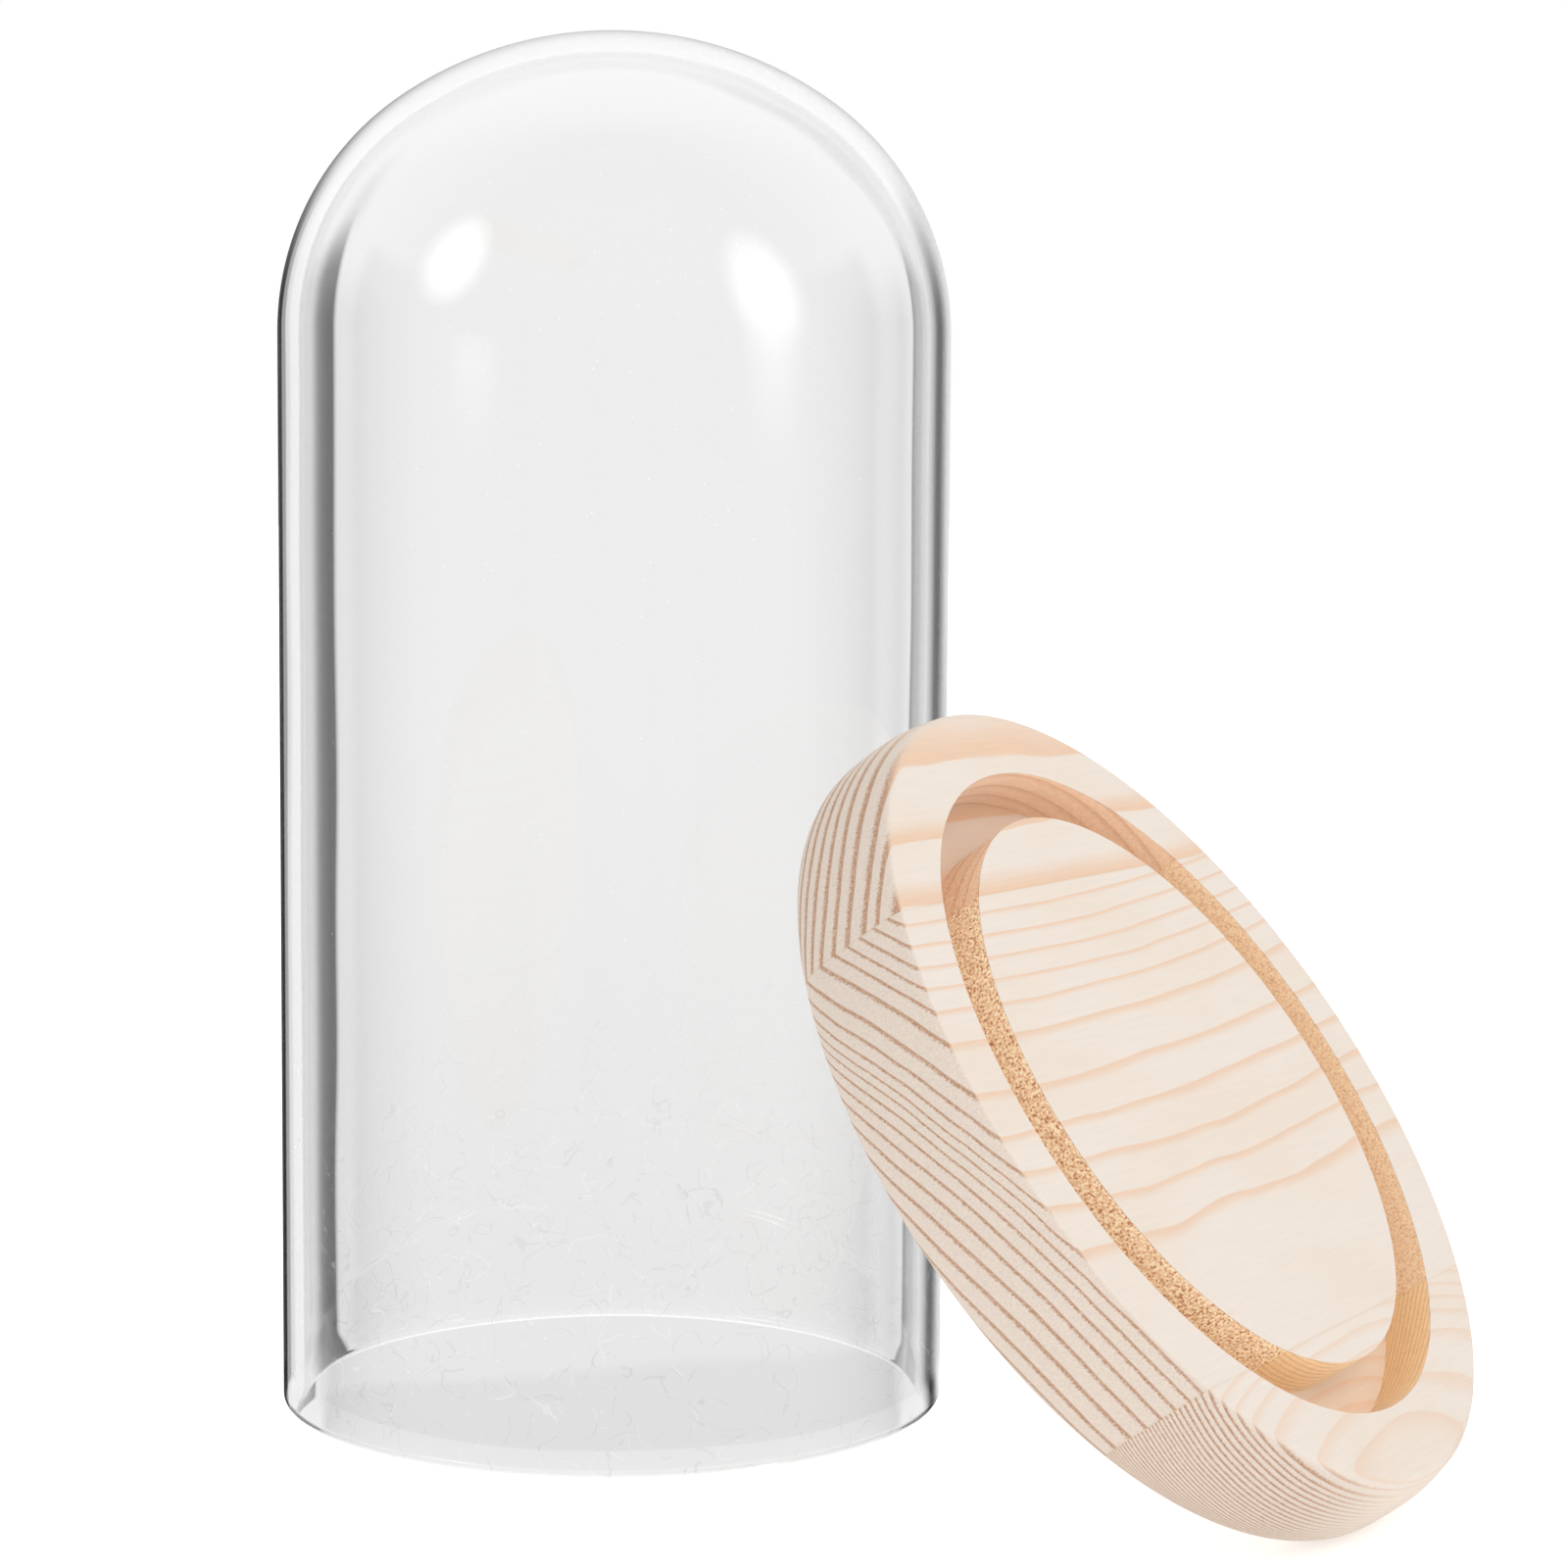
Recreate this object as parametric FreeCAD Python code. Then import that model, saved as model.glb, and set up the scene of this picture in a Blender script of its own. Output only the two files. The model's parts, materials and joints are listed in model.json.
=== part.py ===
"""Glass bell jar dome with a turned wooden base, at rest on a table.

The dome stands on the table with its axis on +Z and the centre of its rim at the origin.
The base leans on the dome's wall beside it: its foot is on the table, and its grooved face
looks up and away from the glass. Millimetres and degrees.
"""
import FreeCAD, Part
import math
import os
from FreeCAD import Placement, Rotation, Vector

# Dome
DOME_RADIUS = 50.0        # outside
DOME_HEIGHT = 205.0
CAP_RISE = 44.5           # of the rounded top, above the straight wall, outside
CROWN_RADIUS = 56.0       # of the ball that the middle of the top is part of, outside
GLASS = 3.0               # wall thickness
RIM_ROUND = 1.0           # on both edges of the rim

# Base, a turned disc
FACE_RADIUS = 61.0        # where the face meets the side
BASE_RADIUS = 62.5        # at the fullest part of the side
BASE_THICKNESS = 20.0
FULLEST_DEPTH = 5.0       # below the face
FACE_EDGE_ROUND = 1.5
SHOULDER_ROUND = 18.0
FOOT_ROUND = 9.0
GROOVE_OUTER_RADIUS = DOME_RADIUS + 0.8
GROOVE_INNER_RADIUS = DOME_RADIUS - GLASS - 3.7
GROOVE_DEPTH = 8.0

# Glue lines between the base's three staves, from the face's centre, across the grain
UPPER_GLUE_LINE = 33.0
LOWER_GLUE_LINE = -38.0

# How the base leans
BASE_TILT = 53.4          # of its face from the horizontal
BASE_BEARING = -30.0      # compass direction that the face looks to, from +X
GRAIN_TURN = -2.0         # of the glue lines about the face's normal, from level
BASE_CENTRE_X = 79.2      # centre of the face
BASE_CENTRE_Y = -61.6


def sin(degrees):
    return math.sin(math.radians(degrees))


def cos(degrees):
    return math.cos(math.radians(degrees))


def in_section(radius, height):
    """A point of a turned piece's half section."""
    return Vector(radius, 0, height)


def rounded_corner(before, corner, after, radius):
    """The start, middle and end of the arc that rounds one corner of an outline."""
    to_before = (before - corner).normalize()
    to_after = (after - corner).normalize()
    half_angle = to_before.getAngle(to_after) / 2
    tangent = radius / math.tan(half_angle)
    inward = (to_before + to_after).normalize()
    middle = corner + inward * (radius / math.sin(half_angle) - radius)
    return corner + to_before * tangent, middle, corner + to_after * tangent


def turned(corners):
    """A solid turned about Z from the corners (radius, height, rounding) of its half section."""
    points = [in_section(radius, height) for radius, height, _ in corners]
    edges = []
    ends = []
    for i, (_, _, rounding) in enumerate(corners):
        if rounding == 0:
            ends.append((points[i], points[i]))
            continue
        following = points[(i + 1) % len(points)]
        start, middle, end = rounded_corner(points[i - 1], points[i], following, rounding)
        edges.append(Part.Arc(start, middle, end).toShape())
        ends.append((start, end))
    for i, (start, _) in enumerate(ends):
        edges.append(Part.makeLine(ends[i - 1][1], start))
    return revolved(edges)


def revolved(edges):
    wire = Part.Wire(Part.__sortEdges__(edges))
    return Part.Face(wire).revolve(Vector(0, 0, 0), Vector(0, 0, 1), 360)


def arc_about(centre, radius, start, end):
    """An arc between two directions, in degrees up from level."""
    points = [centre + in_section(cos(a), sin(a)) * radius for a in (start, (start + end) / 2, end)]
    return Part.Arc(*points).toShape()


def cap_arcs(inset):
    """The top's half section: a shoulder that runs smoothly into a flatter crown."""
    crown_drop = CROWN_RADIUS - CAP_RISE
    shoulder_radius = (CROWN_RADIUS ** 2 - DOME_RADIUS ** 2 - crown_drop ** 2) / (
        2 * (CROWN_RADIUS - DOME_RADIUS))
    wall_top = DOME_HEIGHT - CAP_RISE
    shoulder_centre = in_section(DOME_RADIUS - shoulder_radius, wall_top)
    crown_centre = in_section(0, wall_top - crown_drop)
    meeting = math.degrees(math.atan2(crown_drop, DOME_RADIUS - shoulder_radius))
    return [
        arc_about(shoulder_centre, shoulder_radius - inset, 0, meeting),
        arc_about(crown_centre, CROWN_RADIUS - inset, meeting, 90),
    ]


def glass_dome():
    wall_top = DOME_HEIGHT - CAP_RISE
    inside = DOME_RADIUS - GLASS
    outer_rim_centre = in_section(DOME_RADIUS - RIM_ROUND, RIM_ROUND)
    inner_rim_centre = in_section(inside + RIM_ROUND, RIM_ROUND)
    return revolved([
        Part.makeLine(in_section(inside + RIM_ROUND, 0), in_section(DOME_RADIUS - RIM_ROUND, 0)),
        arc_about(outer_rim_centre, RIM_ROUND, -90, 0),
        Part.makeLine(in_section(DOME_RADIUS, RIM_ROUND), in_section(DOME_RADIUS, wall_top)),
        *cap_arcs(0),
        Part.makeLine(in_section(0, DOME_HEIGHT), in_section(0, DOME_HEIGHT - GLASS)),
        *cap_arcs(GLASS),
        Part.makeLine(in_section(inside, wall_top), in_section(inside, RIM_ROUND)),
        arc_about(inner_rim_centre, RIM_ROUND, 180, 270),
    ])


def base_disc():
    """The whole base, its face at Z 0 looking up."""
    return turned([
        (0, 0, 0),
        (0, -BASE_THICKNESS, 0),
        (BASE_RADIUS, -BASE_THICKNESS, FOOT_ROUND),
        (BASE_RADIUS, -FULLEST_DEPTH, SHOULDER_ROUND),
        (FACE_RADIUS, 0, FACE_EDGE_ROUND),
        (GROOVE_OUTER_RADIUS, 0, 0),
        (GROOVE_OUTER_RADIUS, -GROOVE_DEPTH, 0),
        (GROOVE_INNER_RADIUS, -GROOVE_DEPTH, 0),
        (GROOVE_INNER_RADIUS, 0, 0),
    ])


def between_glue_lines(disc, low, high):
    """The part of the disc from one glue line to the other; the staves run along X."""
    board = Part.makeBox(4 * BASE_RADIUS, high - low, 2 * BASE_THICKNESS)
    board.translate(Vector(-2 * BASE_RADIUS, low, -1.5 * BASE_THICKNESS))
    return disc.common(board).Solids[0]


def leaning():
    """Where the base leans: the rounding of its foot touches the table."""
    foot_centre_radius = BASE_RADIUS - FOOT_ROUND
    foot_centre_depth = BASE_THICKNESS - FOOT_ROUND
    height = foot_centre_radius * sin(BASE_TILT) + foot_centre_depth * cos(BASE_TILT) + FOOT_ROUND
    level_to_grain = Rotation(Vector(0, 0, 1), 90 + GRAIN_TURN)
    tilt = Rotation(Vector(0, 1, 0), BASE_TILT)
    bearing = Rotation(Vector(0, 0, 1), BASE_BEARING)
    return Placement(Vector(BASE_CENTRE_X, BASE_CENTRE_Y, height), bearing * tilt * level_to_grain)


def base_staves():
    disc = base_disc()
    edge = 2 * BASE_RADIUS
    lines = {
        "base_stave_upper": (UPPER_GLUE_LINE, edge),
        "base_stave_middle": (LOWER_GLUE_LINE, UPPER_GLUE_LINE),
        "base_stave_lower": (-edge, LOWER_GLUE_LINE),
    }
    staves = {name: between_glue_lines(disc, low, high) for name, (low, high) in lines.items()}
    for stave in staves.values():
        stave.Placement = leaning()
    return staves


def main():
    os.makedirs("parts", exist_ok=True)
    pieces = {"glass_dome": glass_dome(), **base_staves()}
    for name, shape in pieces.items():
        shape.exportStep("parts/" + name + ".step")
        print(name, "valid", shape.isValid(), "mm3", round(shape.Volume))


main()
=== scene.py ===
"""A glass bell jar and its turned pine base, which leans against it, in soft white studio light."""

import json
import math

import bpy
from mathutils import Matrix, Vector, noise


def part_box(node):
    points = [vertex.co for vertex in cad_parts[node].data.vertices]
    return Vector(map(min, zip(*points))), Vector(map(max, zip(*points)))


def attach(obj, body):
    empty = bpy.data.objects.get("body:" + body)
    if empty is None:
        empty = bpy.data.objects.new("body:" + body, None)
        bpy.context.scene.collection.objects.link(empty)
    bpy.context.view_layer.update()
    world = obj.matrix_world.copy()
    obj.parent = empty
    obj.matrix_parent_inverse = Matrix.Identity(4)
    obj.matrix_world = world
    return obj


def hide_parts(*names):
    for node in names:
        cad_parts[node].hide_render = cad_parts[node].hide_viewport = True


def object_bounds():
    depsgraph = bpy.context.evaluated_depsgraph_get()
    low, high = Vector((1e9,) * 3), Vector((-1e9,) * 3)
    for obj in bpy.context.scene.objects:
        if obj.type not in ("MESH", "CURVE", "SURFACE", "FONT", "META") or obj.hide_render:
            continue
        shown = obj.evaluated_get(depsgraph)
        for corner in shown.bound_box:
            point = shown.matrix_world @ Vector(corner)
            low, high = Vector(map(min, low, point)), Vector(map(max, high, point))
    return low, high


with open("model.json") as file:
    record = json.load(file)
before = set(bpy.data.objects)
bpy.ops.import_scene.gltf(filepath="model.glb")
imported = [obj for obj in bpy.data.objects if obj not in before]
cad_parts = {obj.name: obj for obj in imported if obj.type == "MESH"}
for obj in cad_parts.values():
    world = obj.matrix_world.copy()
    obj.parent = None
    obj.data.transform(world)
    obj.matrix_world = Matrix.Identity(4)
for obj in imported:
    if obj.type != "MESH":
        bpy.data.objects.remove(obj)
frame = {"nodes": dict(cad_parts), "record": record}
cad_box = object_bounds()

MM = 0.001
WHITE = (1.0, 1.0, 1.0, 1.0)

# The camera: its place in metres, its turns in radians, and its lens and sensor in millimetres.
CAMERA_PLACE = (0.0, -0.579237, 0.150919)
CAMERA_YAW = 0.0442
CAMERA_PITCH = 0.0992
CAMERA_ROLL = -0.0069
CAMERA_LENS = 88.517
CAMERA_SENSOR = 36
CAMERA_NEAR = 10 * MM

# The table top. It glows a little, which keeps the shadows on it faint.
FLOOR_HALF = 4.0
FLOOR_GAP = 0.02 * MM
FLOOR_LEVEL = 0.93
FLOOR_ROUGHNESS = 0.9
FLOOR_GLOW = 0.38

# The key lamp, in metres and watts.
KEY_PLACE = (0.55, -0.75, 0.95)
KEY_TARGET = (0.05, -0.05, 0.06)
KEY_SIZE = 0.7
KEY_POWER = 3

# The studio round the glass, in degrees. FLAGS, ROOM and CEILING give levels of light by bearing from
# straight behind the glass, and SHEET by height. FLAG_ENDS and ROOM_ENDS hold pairs of heights, from where
# a part starts to give way to where it is gone. The flags stand alike behind all four sides. Off the middle
# of each, the table's edge slopes up to the second of TABLE_SLOPE_ENDS and is level beyond the first.
QUARTER = 45
FLAGS = [(-30, 1.0), (-24, 0.85), (-18, 0.5), (-14.5, 0.22), (-12.5, 0.1), (-11.35, 0.05), (-11.2, 1.0),
         (15.0, 1.0), (15.3, 0.1), (17, 0.35), (24, 0.6), (32, 1.0)]
FLAG_ENDS = [(4, 8), (-26, -36)]
SHEET_SPAN = 20
SHEET = [(-20, 0.76), (-14, 0.815), (-10, 0.845), (-5, 0.88), (8, 0.88), (20, 0.95)]
TABLE_EDGE = -14.3
TABLE_EDGE_BLUR = 0.12
TABLE_SLOPE = 0.051
TABLE_SLOPE_ENDS = (40, 25)
TABLE_LEVEL = 0.93
ROOM_SPAN = 120
ROOM = [(-110, 0.7), (-85, 0.35), (-62, 0.04), (-57, 0.9), (-24, 0.9), (-22, 0.03), (-8, 0.03), (-3, 0.5),
        (3, 0.5), (10, 0.9), (17, 0.9), (22, 0.45), (27, 0.05), (31, 0.02), (36, 0.5), (41, 0.9), (57, 0.9),
        (62, 0.04), (85, 0.35), (110, 0.7)]
ROOM_ENDS = [(2, 20), (-17, -25)]
CEILING = [(-110, 0.73), (-60, 1.0), (60, 1.0), (110, 0.73)]

# Each softbox in the mirrored room: bearing, height, half width, half height and lean. Its light grows from
# nothing at the first of SOFTBOX_FADE, in half sizes off its middle, to full at the second. Below the
# heights of SOFTBOX_HORIZON there is none.
SOFTBOXES = [(-119.5, 25, 8.8, 11.0, -0.1), (126.5, 15, 9.4, 15.0, 0.15)]
SOFTBOX_FADE = (1.6, 0.2)
SOFTBOX_LIGHT = 4.4
SOFTBOX_HORIZON = (-1.5, 3)

# The soft light from all round, from its level near the horizon to its level overhead.
AMBIENT_HEIGHTS = (-20, 70)
AMBIENT_LEVELS = (1.0, 1.15)

# The dome's shape, in metres, and how finely it is meshed. Its radius and height come from the CAD model.
CAP_RISE = 44.5 * MM
CROWN_RADIUS = 56 * MM
GLASS_THICKNESS = 3 * MM
RIM_ROUND = 1 * MM
DOME_SEGMENTS = 288
WALL_ROWS = 40
ARC_ROWS = 28
RIM_ROWS = 6

# How far the dome's inner face strays at most, the cells of noise from its axis to its wall and the height
# of one, and the radius and the height under which it strays less.
GLASS_WOBBLE = 0.05 * MM
WOBBLE_WIDTH = 1.6
WOBBLE_HEIGHT = 30 * MM
CALM_RADIUS = 20 * MM
CALM_HEIGHT = 6 * MM

GLASS_IOR = 1.5

# Marks on the glass, in millimetres. A layer of hairs is its cells to a millimetre, the shift of its
# pattern and the level of noise from which its hairs show. Heights and edges run from where a mark is gone
# to where it is whole. A hair is a piece of a ring, whose radius is HAIR_RING of a cell or more, by up to
# HAIR_RING_SPREAD.
DARK_HAIRS = [(0.07, (0, 0, 0), 0.5), (0.11, (90, 0, 0), 0.52)]
BRIGHT_HAIRS = [(0.05, (0, 80, 0), 0.53), (0.09, (0, 0, 60), 0.55)]
HAIR_HEIGHTS = (75, 15)
HAIR_EDGES = (0.12, 0.04)
HAIR_RING = 0.2
HAIR_RING_SPREAD = 0.4
HAIR_BEND = (14, 14, 14)
HAIR_BEND_SCALE = 0.08
HAIR_BREAK_SCALE = 0.22
HAIR_BREAK_BLUR = 0.05
DARK_HAIR_STRENGTH = 0.4
DARK_HAIR_TINT = (0.6, 0.6, 0.6, 1.0)
BRIGHT_HAIR_HAZE = 0.13
DUST_SCALE = 0.35
DUST_EDGES = (0.05, 0.04)
DUST_HAZE = 0.25
# A painted highlight on the rim: a white haze at its foot, from the height where it is gone to where it is
# whole, and how much it hazes the glass.
RIM_HIGHLIGHT_HEIGHTS = (0.7, 0.4)
RIM_HIGHLIGHT_HAZE = 0.22

# How the pine lies in the base: the turn of its grain from level in degrees, and in millimetres the places
# of the glue lines across the grain and the edges of what the cutter carved: how far out, from just below
# the face to just below the groove's floor, and where its inner wall gives way to its outer one.
GRAIN_TURN = -2.0
GLUE_LINES = (33.0, -38.0)
GLUE_EDGES = (0.3, 0.1)
GLUE_STRENGTH = 0.25
GROOVE_REACH = (51.4, 51.1)
GROOVE_TOP = (-0.02, -0.12)
GROOVE_BOTTOM = (-10, -9)
GROOVE_MIDDLE = (46.5, 47.5)

# Each stave's piece of the tree, in millimetres across the stave and above its face: where the pith ran,
# how it bowed along the grain, at which distances from the pith how many years had grown,
# the share of a year's growth that is dark late wood and how dark it is, the colour where the groove
# was cut, painted lighter against the shade in the groove, and how much the cutter tore the grain there.
STAVES = {
    "base_stave_upper": {
        "pith": (65, -95),
        "bow": (0, 0, 0),
        "years": [(84.8, 0), (88.7, 2), (93.2, 4), (95.8, 5), (97.7, 6), (100.3, 7), (103, 8)],
        "late_share": 0.48,
        "late_level": 1.0,
        "cut_colour_with_painted_light": (238, 204, 174),
        "torn_share": 0.3,
    },
    "base_stave_middle": {
        "pith": (-31, -88),
        "bow": (0.000587, 0, -16.5),
        "years": [(74.2, 0), (79.9, 2), (84.4, 4), (87.8, 6), (91.6, 9), (95.5, 11), (98.5, 12), (103.8, 15),
                  (107.4, 17)],
        "late_share": 0.30,
        "late_level": 0.85,
        "cut_colour_with_painted_light": (238, 206, 170),
        "torn_share": 1.0,
    },
    "base_stave_lower": {
        "pith": (-61, 60),
        "bow": (0, 0.00086, -2),
        "years": [(60.6, 1), (61.5, 2), (62.8, 3), (65.2, 6), (68, 9.4), (71, 13.5), (74, 19), (80, 31)],
        "late_share": 0.52,
        "late_level": 0.5,
        "cut_colour_with_painted_light": (242, 210, 164),
        "torn_share": 0.15,
    },
}

# How much a surface faces along the grain where it turns from board to end grain, and how much it faces
# out of the base where it turns from the groove's floor to its walls.
END_FACING = (0.12, 0.5)
WALL_FACING = (0.7, 0.3)

# The pine's colours, from 0 to 255, and the tints that it is multiplied by.
EARLY_WOOD = (240, 228, 217)
EARLY_WOOD_WARM = (239, 225, 210)
LATE_WOOD = (239, 204, 175)
END_EARLY = (228, 213, 199)
END_LATE = (188, 144, 112)
# The groove walls' colours, here and in STAVES, are painted light: WOOD_LEVEL does not dim them, so the
# walls stay lighter against the shade in the groove.
CUT_LATE = (205, 148, 110)
TORN_DARK = (184, 130, 88)
TORN_LIGHT = (255, 241, 212)
# The groove floor's tints: the warmer colour of the cut wood, and painted light that lifts the floor against
# its shade, most on its lower side under the outer wall.
GROOVE_TINT_AND_PAINTED_LIGHT_UPPER = (1.05, 0.95, 0.85, 1.0)
GROOVE_TINT_AND_PAINTED_LIGHT_LOWER = (1.25, 1.15, 1.03, 1.0)
GROOVE_TINT_AND_PAINTED_LIGHT_ENDS = (-20, -50)
GLUE_TINT = (0.86, 0.78, 0.6, 1.0)
WOOD_LEVEL = (0.76, 0.76, 0.76, 1.0)

# The pine's noises: cells to a millimetre, detail and roughness. Streaks are stretched along the grain.
WANDER = (0.07, 2.0, 0.5)
CLOUD = (0.06, 2.0, 0.5)
FIBRE = (1.8, 3.0, 0.6)
GRIT = (3.2, 3.0, 0.7)
TORN = (2.6, 1.0, 0.5)
STREAK = (0.3, 1, 1)
LONG_STREAK = (0.05, 1, 1)

# What the noises do: from one level of noise to another, the share or the light that they give.
CLOUD_SHARE = (0.35, 0.65)
FIBRE_LIGHT = (0.3, 0.7, 0.975, 1.01)
CUT_FIBRE_LIGHT = (0.3, 0.7, 0.94, 1.04)
GRIT_LIGHT = (0.35, 0.7, 1.04, 0.9)
LINE_GRIT = (0.3, 0.62, 0.55, 1.0)
FLECKS = [((0.58, 0.66), TORN_DARK), ((0.48, 0.40), TORN_LIGHT)]

# Late wood by the time of the year, from 0 to 1: when it is full, starts to end and is gone. The lines of
# end grain are full sooner, by this part of the late wood's share, and their edges are ragged.
LATE_YEAR = (0.95, 0.96, 1.0)
LINE_YEAR = (0.96, 1.03)
LINE_FULL = 0.45
LINE_RAGGED = 0.35

# How much late wood shows on the groove's walls, how much less where they are torn, and how torn the outer
# wall is beside the inner one.
CUT_LATE_SHARE = 0.6
CUT_LATE_LOSS = 0.45
OUTER_TORN = 0.35

# The pine's surface: relief in end grain, and how rough a board and end grain are.
RELIEF_STRENGTH = 0.25
RELIEF_HEIGHT = 0.1 * MM
BOARD_ROUGHNESS = 0.55
END_ROUGHNESS = 0.75
WOOD_SHINE = 0.3


def srgb(red, green, blue):
    """A colour from 0 to 255 as a picture shows it, in the linear light that shaders use."""
    def linear(level):
        share = level / 255
        return share / 12.92 if share <= 0.04045 else ((share + 0.055) / 1.055) ** 2.4

    return (linear(red), linear(green), linear(blue), 1.0)


class Graph:
    """A node tree written as sums of its parts: every method returns the socket that holds its result."""

    def __init__(self, tree):
        self.tree = tree
        tree.nodes.clear()

    def node(self, kind, **settings):
        made = self.tree.nodes.new("ShaderNode" + kind)
        for name, value in settings.items():
            setattr(made, name, value)
        return made

    def put(self, socket, value):
        """Links a socket to a result, or sets its own value."""
        if isinstance(value, bpy.types.NodeSocket):
            self.tree.links.new(value, socket)
        else:
            socket.default_value = value

    def fill(self, made, **values):
        """Puts values in the inputs that they are named after, such as base_color in Base Color."""
        inputs = {socket.name.lower().replace(" ", "_"): socket for socket in made.inputs}
        for name, value in values.items():
            self.put(inputs[name], value)
        return made.outputs[0]

    def surface(self, output, shader):
        self.put(self.node(output).inputs["Surface"], shader)

    def maths(self, operation, *values):
        made = self.node("Math", operation=operation)
        for socket, value in zip(made.inputs, values):
            self.put(socket, value)
        return made.outputs[0]

    def vector(self, operation, *values):
        made = self.node("VectorMath", operation=operation)
        for socket, value in zip(made.inputs, values):
            self.put(socket, value)
        return made.outputs["Value" if operation in ("DOT_PRODUCT", "LENGTH") else "Vector"]

    def split(self, vector):
        made = self.node("SeparateXYZ")
        self.put(made.inputs[0], vector)
        return made.outputs[0], made.outputs[1], made.outputs[2]

    def join(self, x, y, z):
        made = self.node("CombineXYZ")
        for socket, value in zip(made.inputs, (x, y, z)):
            self.put(socket, value)
        return made.outputs[0]

    def rescale(self, value, low, high, new_low=0.0, new_high=1.0, style="SMOOTHSTEP"):
        made = self.node("MapRange", interpolation_type=style)
        for socket, given in zip(made.inputs, (value, low, high, new_low, new_high)):
            self.put(socket, given)
        return made.outputs[0]

    def blend(self, factor, first, second, mode="MIX"):
        made = self.node("Mix", data_type="RGBA", blend_type=mode)
        self.put(made.inputs[0], factor)
        self.put(made.inputs[6], first)
        self.put(made.inputs[7], second)
        return made.outputs[2]

    def tint(self, first, second):
        """Two colours multiplied."""
        return self.blend(1.0, first, second, "MULTIPLY")

    def noise(self, vector, scale, detail=2.0, roughness=0.5, colour=False):
        made = self.node("TexNoise")
        self.fill(made, vector=vector, scale=scale, detail=detail, roughness=roughness)
        return made.outputs["Color" if colour else "Fac"]

    def cells(self, vector, scale):
        """Scattered points: how far off the nearest one is, and its own random colour."""
        made = self.node("TexVoronoi")
        self.fill(made, vector=vector, scale=scale)
        return made.outputs["Distance"], made.outputs["Color"]

    def stops(self, value, low, high, stops):
        """A grey level that runs through stops, each a value between low and high and its level."""
        made = self.node("ValToRGB")
        self.put(made.inputs[0], self.rescale(value, low, high, style="LINEAR"))
        elements = made.color_ramp.elements
        while len(elements) < len(stops):
            elements.new(0.5)
        for element, (place, level) in zip(elements, stops):
            element.position = (place - low) / (high - low)
            element.color = (level, level, level, 1.0)
        return made.outputs[0]

    def curve(self, value, points):
        """The value carried along a smooth curve through points, each a value and what it becomes."""
        (low, first), (high, last) = points[0], points[-1]
        made = self.node("FloatCurve")
        line = made.mapping.curves[0]
        made.mapping.extend = "EXTRAPOLATED"
        made.mapping.use_clip = False
        for given, becomes in points[1:-1]:
            line.points.new((given - low) / (high - low), (becomes - first) / (last - first))
        made.mapping.update()
        scaled = self.maths("DIVIDE", self.maths("SUBTRACT", value, low), high - low)
        self.put(made.inputs["Value"], scaled)
        return self.maths("MULTIPLY_ADD", made.outputs[0], last - first, first)


def new_material(name):
    """A material and the empty graph of its nodes."""
    material = bpy.data.materials.new(name)
    material.use_nodes = True
    return material, Graph(material.node_tree)


def add_object(name, data):
    made = bpy.data.objects.new(name, data)
    bpy.context.scene.collection.objects.link(made)
    return made


# ---------------------------------------------------------------- camera, floor and light


def make_camera():
    data = bpy.data.cameras.new("camera")
    data.lens = CAMERA_LENS
    data.sensor_width = CAMERA_SENSOR
    data.clip_start = CAMERA_NEAR
    camera = add_object("camera", data)
    turn = (
        Matrix.Rotation(-CAMERA_YAW, 4, "Z")
        @ Matrix.Rotation(math.pi / 2 - CAMERA_PITCH, 4, "X")
        @ Matrix.Rotation(-CAMERA_ROLL, 4, "Z")
    )
    camera.matrix_world = Matrix.Translation(CAMERA_PLACE) @ turn
    bpy.context.scene.camera = camera


def table_top():
    material, graph = new_material("table_top")
    shader = graph.node("BsdfPrincipled")
    graph.surface("OutputMaterial", graph.fill(
        shader,
        base_color=(FLOOR_LEVEL, FLOOR_LEVEL, FLOOR_LEVEL, 1),
        roughness=FLOOR_ROUGHNESS,
        specular_ior_level=0.0,
        emission_color=WHITE,
        emission_strength=FLOOR_GLOW,
    ))
    return material


def make_floor():
    """A wide white table top, which the glass neither shows nor mirrors: the world stands for it there."""
    corners = [(x * FLOOR_HALF, y * FLOOR_HALF, 0) for x, y in ((-1, -1), (1, -1), (1, 1), (-1, 1))]
    mesh = bpy.data.meshes.new("floor")
    mesh.from_pydata(corners, [], [(0, 1, 2, 3)])
    mesh.materials.append(table_top())
    floor = add_object("floor", mesh)
    floor.location.z = cad_box[0].z - FLOOR_GAP
    floor.visible_transmission = False
    floor.visible_glossy = False


def view_through(graph, bearing, height):
    """What shows straight through the glass: a white sheet over a table, between dark flags."""
    quarter = graph.maths("WRAP", bearing, QUARTER, -QUARTER)
    flags = graph.stops(quarter, -QUARTER, QUARTER, FLAGS)
    for ends in FLAG_ENDS:
        flags = graph.blend(graph.rescale(height, *ends), flags, WHITE)
    sheet = graph.stops(height, -SHEET_SPAN, SHEET_SPAN, SHEET)
    slope = graph.rescale(graph.maths("ABSOLUTE", quarter), *TABLE_SLOPE_ENDS, 0.0, TABLE_SLOPE)
    level = graph.maths("SUBTRACT", height, graph.maths("MULTIPLY", quarter, slope))
    above_edge = graph.maths("SUBTRACT", level, TABLE_EDGE)
    table = graph.rescale(above_edge, -TABLE_EDGE_BLUR, TABLE_EDGE_BLUR, TABLE_LEVEL, 1.0)
    return graph.tint(flags, graph.tint(sheet, table))


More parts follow.
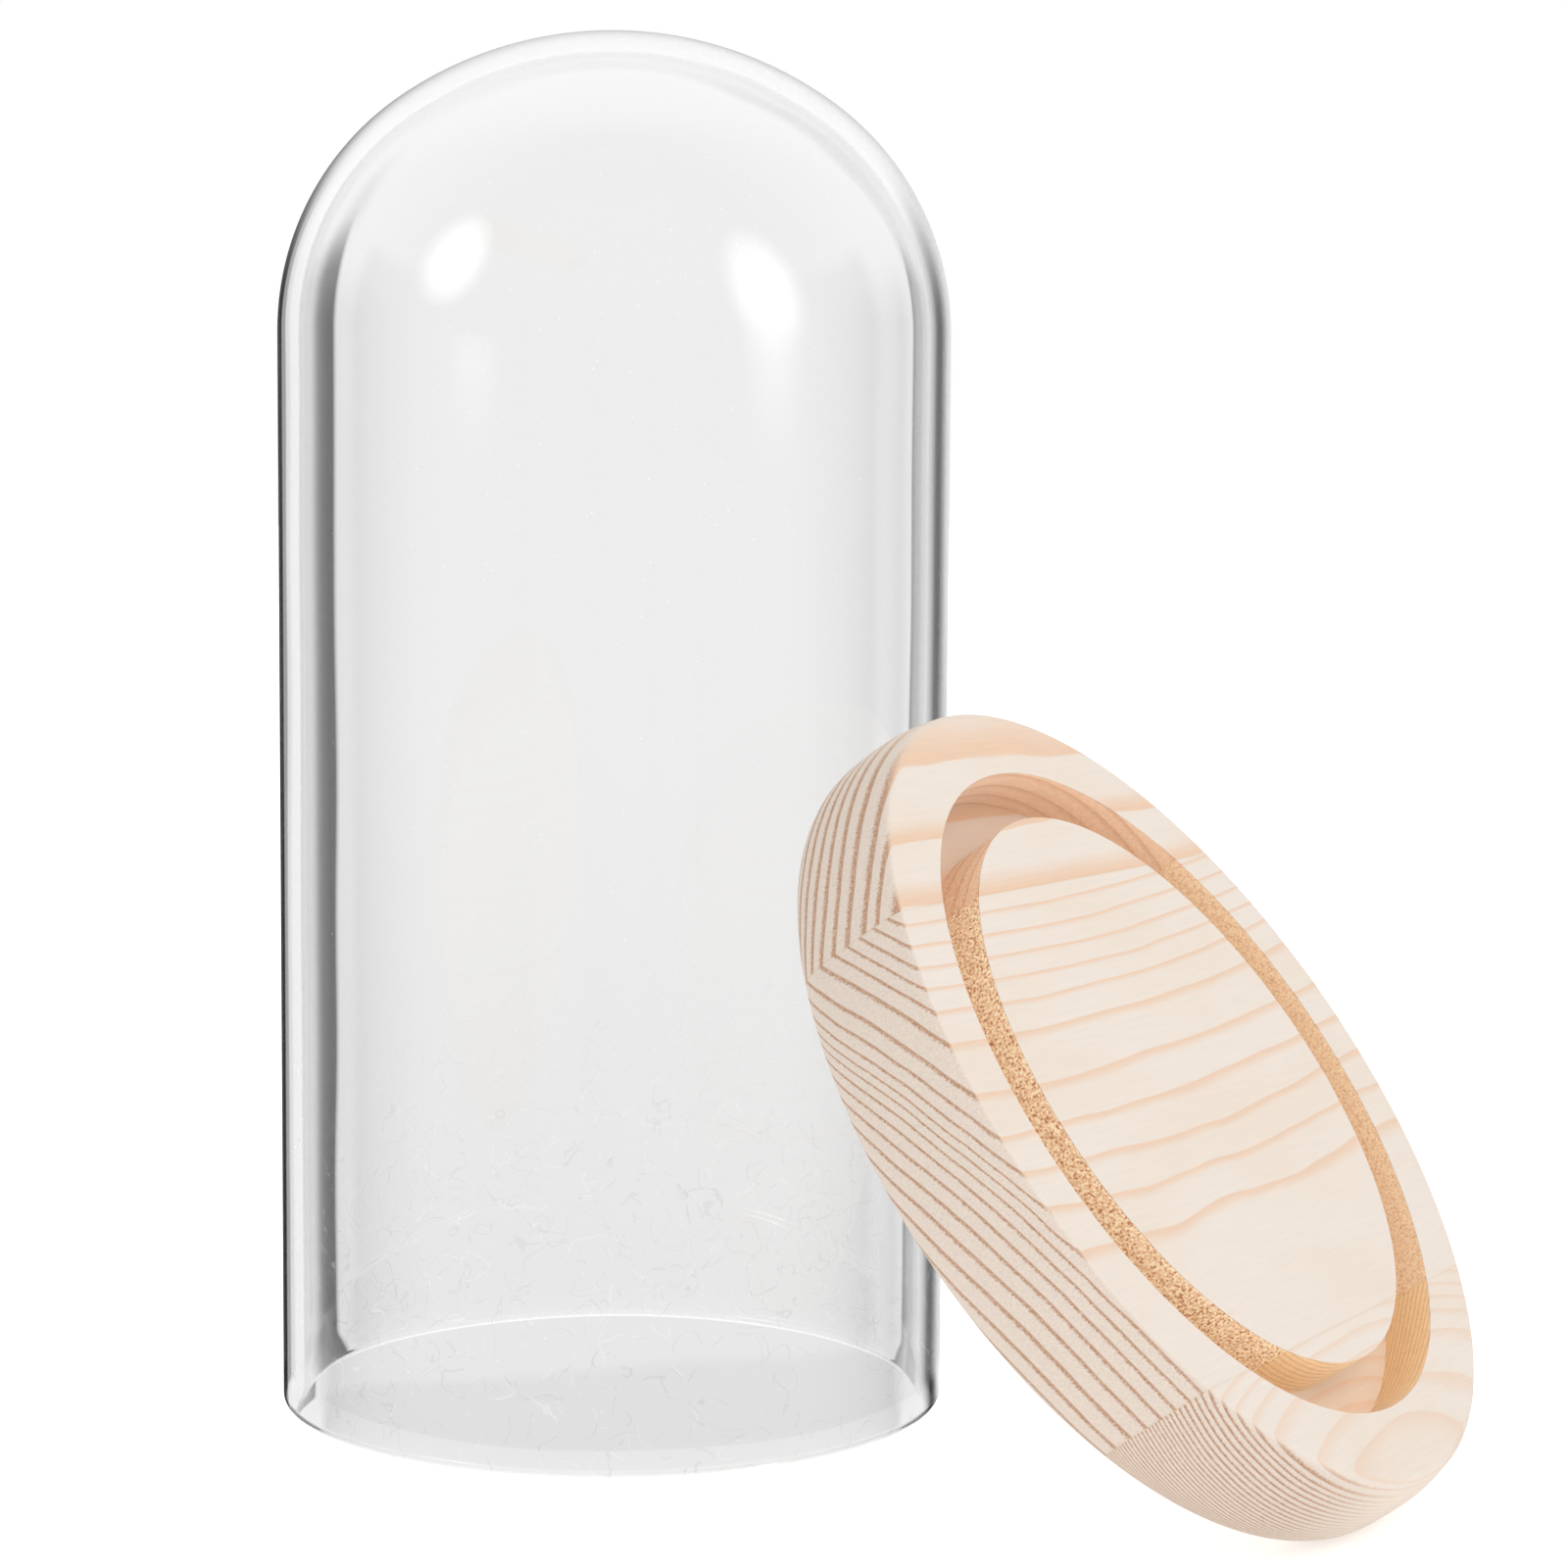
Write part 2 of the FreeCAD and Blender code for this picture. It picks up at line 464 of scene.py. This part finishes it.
def softbox(graph, bearing, height, middle, level, half_width, half_height, lean):
    """The light of a softbox by direction in degrees: a bright leaning patch with soft edges."""
    across = graph.maths("SUBTRACT", bearing, middle)
    up = graph.maths("SUBTRACT", height, level)
    across = graph.maths("SUBTRACT", across, graph.maths("MULTIPLY", up, lean))
    across = graph.maths("DIVIDE", across, half_width)
    up = graph.maths("DIVIDE", up, half_height)
    off_middle = graph.vector("LENGTH", graph.join(across, up, 0))
    patch = graph.rescale(off_middle, *SOFTBOX_FADE, 0.0, SOFTBOX_LIGHT, style="LINEAR")
    return graph.maths("MULTIPLY", patch, graph.rescale(height, *SOFTBOX_HORIZON))


def mirrored_room(graph, bearing, height):
    """What the glass mirrors: a dark room with bright walls, a bright ceiling and softboxes."""
    room = graph.stops(bearing, -ROOM_SPAN, ROOM_SPAN, ROOM)
    ceiling = graph.stops(bearing, -ROOM_SPAN, ROOM_SPAN, CEILING)
    for ends in ROOM_ENDS:
        room = graph.blend(graph.rescale(height, *ends), room, ceiling)
    for box in SOFTBOXES:
        room = graph.maths("ADD", room, softbox(graph, bearing, height, *box))
    return room


def make_world():
    """White all round for the camera, soft light for what it falls on, and the studio for the glass."""
    world = bpy.data.worlds.new("studio")
    bpy.context.scene.world = world
    world.use_nodes = True
    graph = Graph(world.node_tree)
    x, y, z = graph.split(graph.node("TexCoord").outputs["Generated"])
    bearing = graph.maths("DEGREES", graph.maths("ARCTAN2", x, y))
    height = graph.maths("DEGREES", graph.maths("ARCSINE", z))
    behind = view_through(graph, bearing, height)
    room = mirrored_room(graph, bearing, height)
    ambient = graph.rescale(height, *AMBIENT_HEIGHTS, *AMBIENT_LEVELS, style="LINEAR")

    paths = graph.node("LightPath").outputs
    mirrored = graph.maths("GREATER_THAN", paths["Glossy Depth"], 0.5)
    through = graph.blend(mirrored, behind, room)
    light = graph.blend(paths["Is Glossy Ray"], ambient, room)
    light = graph.blend(paths["Is Transmission Ray"], light, through)
    light = graph.blend(paths["Is Camera Ray"], light, WHITE)
    graph.surface("OutputWorld", graph.fill(graph.node("Background"), color=light))


def make_lamp():
    """A soft square lamp that lights surfaces but isn't mirrored in the glass."""
    data = bpy.data.lights.new("key", "AREA")
    data.size = KEY_SIZE
    data.energy = KEY_POWER
    lamp = add_object("key", data)
    lamp.location = KEY_PLACE
    lamp.rotation_euler = (Vector(KEY_TARGET) - Vector(KEY_PLACE)).to_track_quat("-Z", "Y").to_euler()
    lamp.visible_camera = False
    lamp.visible_glossy = False
    lamp.visible_transmission = False


# ---------------------------------------------------------------- the glass dome


def arc(centre, radius, start, end, rows):
    """Points of an arc in the plane of radius and height, from one angle to another in degrees."""
    points = []
    for row in range(rows + 1):
        angle = math.radians(start + (end - start) * row / rows)
        points.append((centre[0] + radius * math.cos(angle), centre[1] + radius * math.sin(angle)))
    return points


def dome_face(radius, top, foot, inset):
    """One face of the dome from its top down to the foot of its wall: crown, shoulder and wall."""
    crown_height = top - CROWN_RADIUS
    shoulder_height = top - CAP_RISE
    rise = shoulder_height - crown_height
    shoulder = (CROWN_RADIUS**2 - radius**2 - rise**2) / (2 * (CROWN_RADIUS - radius))
    shoulder_centre = (radius - shoulder, shoulder_height)
    meeting = math.degrees(math.atan2(rise, radius - shoulder))
    crown = arc((0, crown_height), CROWN_RADIUS - inset, 90, meeting, ARC_ROWS)
    turn = arc(shoulder_centre, shoulder - inset, meeting, 0, ARC_ROWS)
    wall = [
        (radius - inset, shoulder_height + (foot - shoulder_height) * row / WALL_ROWS)
        for row in range(1, WALL_ROWS + 1)
    ]
    return crown + turn[1:] + wall


def glass_wobble(angle, height, radius):
    """How far blown glass strays from its true inner face, fading out at the pole and the rim."""
    place = Vector((math.cos(angle) * WOBBLE_WIDTH, math.sin(angle) * WOBBLE_WIDTH, height / WOBBLE_HEIGHT))
    fade = min(1.0, radius / CALM_RADIUS) * min(1.0, height / CALM_HEIGHT)
    return GLASS_WOBBLE * fade * noise.noise(place)


def spin(name, outline, wobbling):
    """A closed mesh of revolution. The outline starts and ends on the axis; wobbling rows stray a little."""
    vertices = [(0.0, 0.0, outline[0][1])]
    for row, (radius, height) in enumerate(outline[1:-1], start=1):
        for step in range(DOME_SEGMENTS):
            angle = 2 * math.pi * step / DOME_SEGMENTS
            reach = radius + (glass_wobble(angle, height, radius) if row in wobbling else 0.0)
            vertices.append((reach * math.cos(angle), reach * math.sin(angle), height))
    vertices.append((0.0, 0.0, outline[-1][1]))
    last = len(vertices) - 1
    rows = len(outline) - 2
    faces = []
    for step in range(DOME_SEGMENTS):
        after = (step + 1) % DOME_SEGMENTS
        faces.append((0, 1 + step, 1 + after))
        for row in range(rows - 1):
            here = 1 + row * DOME_SEGMENTS
            below = here + DOME_SEGMENTS
            faces.append((here + step, below + step, below + after, here + after))
        foot = 1 + (rows - 1) * DOME_SEGMENTS
        faces.append((foot + after, foot + step, last))
    mesh = bpy.data.meshes.new(name)
    mesh.from_pydata(vertices, [], faces)
    mesh.shade_smooth()
    return add_object(name, mesh)


def hairs(graph, place, scale, offset, whole):
    """Hair-thin curved marks: broken pieces of rings round scattered points."""
    place = graph.vector("ADD", place, offset)
    bends = graph.vector("MULTIPLY", graph.noise(place, HAIR_BEND_SCALE, colour=True), HAIR_BEND)
    distance, random = graph.cells(graph.vector("ADD", place, bends), scale)
    size = graph.maths("MULTIPLY_ADD", graph.split(random)[0], HAIR_RING_SPREAD, HAIR_RING)
    off_ring = graph.maths("ABSOLUTE", graph.maths("SUBTRACT", distance, size))
    ring = graph.rescale(off_ring, HAIR_EDGES[0] * scale, HAIR_EDGES[1] * scale)
    broken = graph.rescale(graph.noise(place, HAIR_BREAK_SCALE), whole, whole + HAIR_BREAK_BLUR)
    return graph.maths("MULTIPLY", ring, broken)


def clear_glass():
    """Clear glass with a few specks of dust, a painted highlight on the rim as a white haze at its foot, and
    hairs left by wiping towards it.
    """
    material, graph = new_material("clear_glass")
    place = graph.vector("MULTIPLY", graph.node("TexCoord").outputs["Object"], (1 / MM, 1 / MM, 1 / MM))
    height = graph.split(place)[2]
    wiped = graph.rescale(height, *HAIR_HEIGHTS)

    def marks(layers):
        drawn = [hairs(graph, place, *layer) for layer in layers]
        return graph.maths("MULTIPLY", graph.maths("MAXIMUM", *drawn), wiped)

    dark = marks(DARK_HAIRS)
    bright = marks(BRIGHT_HAIRS)
    dust = graph.rescale(graph.cells(place, DUST_SCALE)[0], *DUST_EDGES, 0.0, DUST_HAZE)
    # Painted highlight: a white haze along the foot of the rim stands in for the rim's bright edge.
    rim_highlight = graph.rescale(height, *RIM_HIGHLIGHT_HEIGHTS, 0.0, RIM_HIGHLIGHT_HAZE)
    bright_haze = graph.maths("MULTIPLY", bright, BRIGHT_HAIR_HAZE)
    haze = graph.maths("MAXIMUM", bright_haze, graph.maths("MAXIMUM", dust, rim_highlight))

    shader = graph.node("BsdfPrincipled")
    graph.surface("OutputMaterial", graph.fill(
        shader,
        base_color=graph.blend(graph.maths("MULTIPLY", dark, DARK_HAIR_STRENGTH), WHITE, DARK_HAIR_TINT),
        roughness=0.0,
        ior=GLASS_IOR,
        transmission_weight=graph.maths("SUBTRACT", 1.0, haze),
    ))
    return material


def make_dome():
    """The dome as one smooth shell of blown glass with a rounded rim."""
    low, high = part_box("glass_dome")
    radius = (high.x - low.x) / 2
    wall_foot = low.z + RIM_ROUND
    outer = dome_face(radius, high.z, wall_foot, 0.0)
    inner = dome_face(radius, high.z, wall_foot, GLASS_THICKNESS)
    outer_lip = arc((radius - RIM_ROUND, wall_foot), RIM_ROUND, 0, -90, RIM_ROWS)
    inner_lip = arc((radius - GLASS_THICKNESS + RIM_ROUND, wall_foot), RIM_ROUND, -90, -180, RIM_ROWS)
    outline = outer + outer_lip[1:] + inner_lip[:-1] + inner[::-1]
    first_inner = len(outline) - len(inner)
    dome = spin("bell_dome", outline, range(first_inner, len(outline)))
    dome.data.materials.append(clear_glass())
    dome.visible_shadow = False
    dome.visible_diffuse = False
    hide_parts("glass_dome")
    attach(dome, "dome")


# ---------------------------------------------------------------- the pine base


def grain_placement():
    """The turn of the base's own axes: along the grain, up the slope, and out of its face."""
    face = next(mount for mount in frame["record"]["mounts"] if mount["name"] == "display_face")
    normal = Vector(face["axis"])
    tilt = math.acos(normal.z)
    bearing = math.atan2(normal.y, normal.x)
    turn = (
        Matrix.Rotation(bearing, 3, "Z")
        @ Matrix.Rotation(tilt, 3, "Y")
        @ Matrix.Rotation(math.radians(90 + GRAIN_TURN), 3, "Z")
    )
    return Vector(face["pos_m"]), turn


class Wood:
    """A spot of the base: its place in millimetres in the base's own axes, how its surface faces there,
    whether the groove was cut there, and the fine noises of its wood."""

    def __init__(self, graph):
        self.graph = graph
        centre, turn = grain_placement()
        coordinates = graph.node("TexCoord")
        placed = graph.node("Mapping", vector_type="TEXTURE")
        self.place = graph.fill(
            placed,
            vector=coordinates.outputs["Object"],
            location=centre,
            rotation=turn.to_euler(),
            scale=(MM, MM, MM),
        )
        self.along, self.across, self.above = graph.split(self.place)
        self.reach = graph.vector("LENGTH", graph.join(self.along, self.across, 0))

        normal = coordinates.outputs["Normal"]
        facing_along = graph.maths("ABSOLUTE", graph.vector("DOT_PRODUCT", normal, turn.col[0]))
        facing_out = graph.vector("DOT_PRODUCT", normal, turn.col[2])
        self.end_grain = graph.rescale(facing_along, *END_FACING)
        under_face = graph.rescale(self.above, *GROOVE_TOP)
        over_back = graph.rescale(self.above, *GROOVE_BOTTOM)
        within = graph.rescale(self.reach, *GROOVE_REACH)
        self.carved = graph.maths("MULTIPLY", graph.maths("MULTIPLY", under_face, over_back), within)
        self.wall = graph.maths("MULTIPLY", self.carved, graph.rescale(facing_out, *WALL_FACING))

        self.grit = graph.noise(self.place, *GRIT)
        self.fibre = graph.noise(graph.vector("MULTIPLY", self.place, LONG_STREAK), *FIBRE)

    def season(self, pith, bow, years):
        """How far the year had come, from 0 to 1, when the wood at this spot grew."""
        graph = self.graph
        bend_across, bend_above, bend_from = bow
        bend = graph.maths("POWER", graph.maths("SUBTRACT", self.along, bend_from), 2)
        side = graph.maths("SUBTRACT", self.across, graph.maths("MULTIPLY", bend, bend_across))
        side = graph.maths("SUBTRACT", side, pith[0])
        lift = graph.maths("SUBTRACT", self.above, graph.maths("MULTIPLY", bend, bend_above))
        lift = graph.maths("SUBTRACT", lift, pith[1])
        square = graph.maths("ADD", graph.maths("POWER", side, 2), graph.maths("POWER", lift, 2))
        streaks = graph.noise(graph.vector("MULTIPLY", self.place, STREAK), *WANDER)
        wander = graph.maths("SUBTRACT", streaks, 0.5)
        distance = graph.maths("MULTIPLY_ADD", wander, 1.0, graph.maths("SQRT", square))
        return graph.maths("FRACT", graph.curve(distance, years))

    def late_wood(self, season, start, full, fading, gone):
        """The dark wood at the end of a year's growth, which comes slowly and ends sharply."""
        graph = self.graph
        ending = graph.rescale(season, gone, fading)
        return graph.maths("MULTIPLY", graph.rescale(season, start, full), ending)

    def board(self, late, late_level):
        """The colour of a planed board, and of the groove's floor, which is cut across the same rings and is
        painted lighter against its shade, most on its lower side.
        """
        graph = self.graph
        cloud = graph.noise(graph.vector("MULTIPLY", self.place, STREAK), *CLOUD)
        plank = graph.blend(graph.rescale(cloud, *CLOUD_SHARE), srgb(*EARLY_WOOD), srgb(*EARLY_WOOD_WARM))
        plank = graph.blend(graph.maths("MULTIPLY", late, late_level), plank, srgb(*LATE_WOOD))
        plank = graph.tint(plank, graph.rescale(self.fibre, *FIBRE_LIGHT))
        # Painted light: the groove's floor is lifted against its shade, more towards its lower side.
        lower = graph.rescale(self.across, *GROOVE_TINT_AND_PAINTED_LIGHT_ENDS)
        shade = graph.blend(lower, GROOVE_TINT_AND_PAINTED_LIGHT_UPPER, GROOVE_TINT_AND_PAINTED_LIGHT_LOWER)
        return graph.blend(self.carved, plank, graph.tint(plank, shade))

    def ends(self, season, late_share):
        """The colour of end grain, with ragged dark lines."""
        graph = self.graph
        stray = graph.maths("SUBTRACT", self.grit, 0.5)
        ragged = graph.maths("MULTIPLY_ADD", stray, LINE_RAGGED, season)
        line = self.late_wood(ragged, 1 - late_share, 1 - LINE_FULL * late_share, *LINE_YEAR)
        line = graph.maths("MULTIPLY", line, graph.rescale(self.grit, *LINE_GRIT))
        ends = graph.blend(line, srgb(*END_EARLY), srgb(*END_LATE))
        return graph.tint(ends, graph.rescale(self.grit, *GRIT_LIGHT))

    def cut(self, late, colour, torn_share):
        """The colour of the groove's walls, with the flecks that the cutter tore in end grain. Painted light
        keeps it lighter than the rest of the pine, against the shade in the groove.
        """
        graph = self.graph
        late = graph.maths("MULTIPLY", late, CUT_LATE_SHARE - CUT_LATE_LOSS * torn_share)
        cut = graph.blend(late, srgb(*colour), srgb(*CUT_LATE))
        cut = graph.tint(cut, graph.rescale(self.fibre, *CUT_FIBRE_LIGHT))
        share = graph.rescale(self.reach, *GROOVE_MIDDLE, torn_share, OUTER_TORN * torn_share)
        rough = graph.maths("MULTIPLY", self.end_grain, share)
        torn = graph.noise(self.place, *TORN)
        for levels, fleck in FLECKS:
            flecks = graph.maths("MULTIPLY", rough, graph.rescale(torn, *levels))
            cut = graph.blend(flecks, cut, srgb(*fleck))
        return cut

    def glued(self, colour):
        """The colour with the glue lines on it."""
        graph = self.graph
        for glue_line in GLUE_LINES:
            off_line = graph.maths("ABSOLUTE", graph.maths("SUBTRACT", self.across, glue_line))
            glue = graph.rescale(off_line, *GLUE_EDGES, 0.0, GLUE_STRENGTH)
            colour = graph.blend(glue, colour, graph.tint(colour, GLUE_TINT))
        return colour


def pine(name, pith, bow, years, late_share, late_level, cut_colour_with_painted_light, torn_share):
    """Pine whose year rings are solid through the stave, so that faces, end grain and groove agree."""
    material, graph = new_material(name + "_pine")
    wood = Wood(graph)
    season = wood.season(pith, bow, years)
    late = wood.late_wood(season, 1 - late_share, *LATE_YEAR)
    colour = graph.blend(wood.end_grain, wood.board(late, late_level), wood.ends(season, late_share))
    colour = graph.tint(colour, WOOD_LEVEL)
    # Painted light: the groove's walls are not dimmed by WOOD_LEVEL, which keeps them lighter against the
    # shade in the groove.
    colour = graph.blend(wood.wall, colour, wood.cut(late, cut_colour_with_painted_light, torn_share))
    relief = graph.fill(
        graph.node("Bump"),
        strength=RELIEF_STRENGTH,
        distance=RELIEF_HEIGHT,
        height=graph.maths("MULTIPLY", wood.grit, wood.end_grain),
    )
    roughness = graph.rescale(wood.end_grain, 0, 1, BOARD_ROUGHNESS, END_ROUGHNESS, style="LINEAR")
    shader = graph.node("BsdfPrincipled")
    graph.surface("OutputMaterial", graph.fill(
        shader,
        base_color=wood.glued(colour),
        roughness=roughness,
        specular_ior_level=WOOD_SHINE,
        normal=relief,
    ))
    return material


def finish_staves():
    for name, wood in STAVES.items():
        stave = frame["nodes"][name]
        stave.material_slots[0].material = pine(name, **wood)
        stave.visible_glossy = False


bpy.context.scene.view_settings.view_transform = "Standard"
make_camera()
make_floor()
make_world()
make_lamp()
make_dome()
finish_staves()
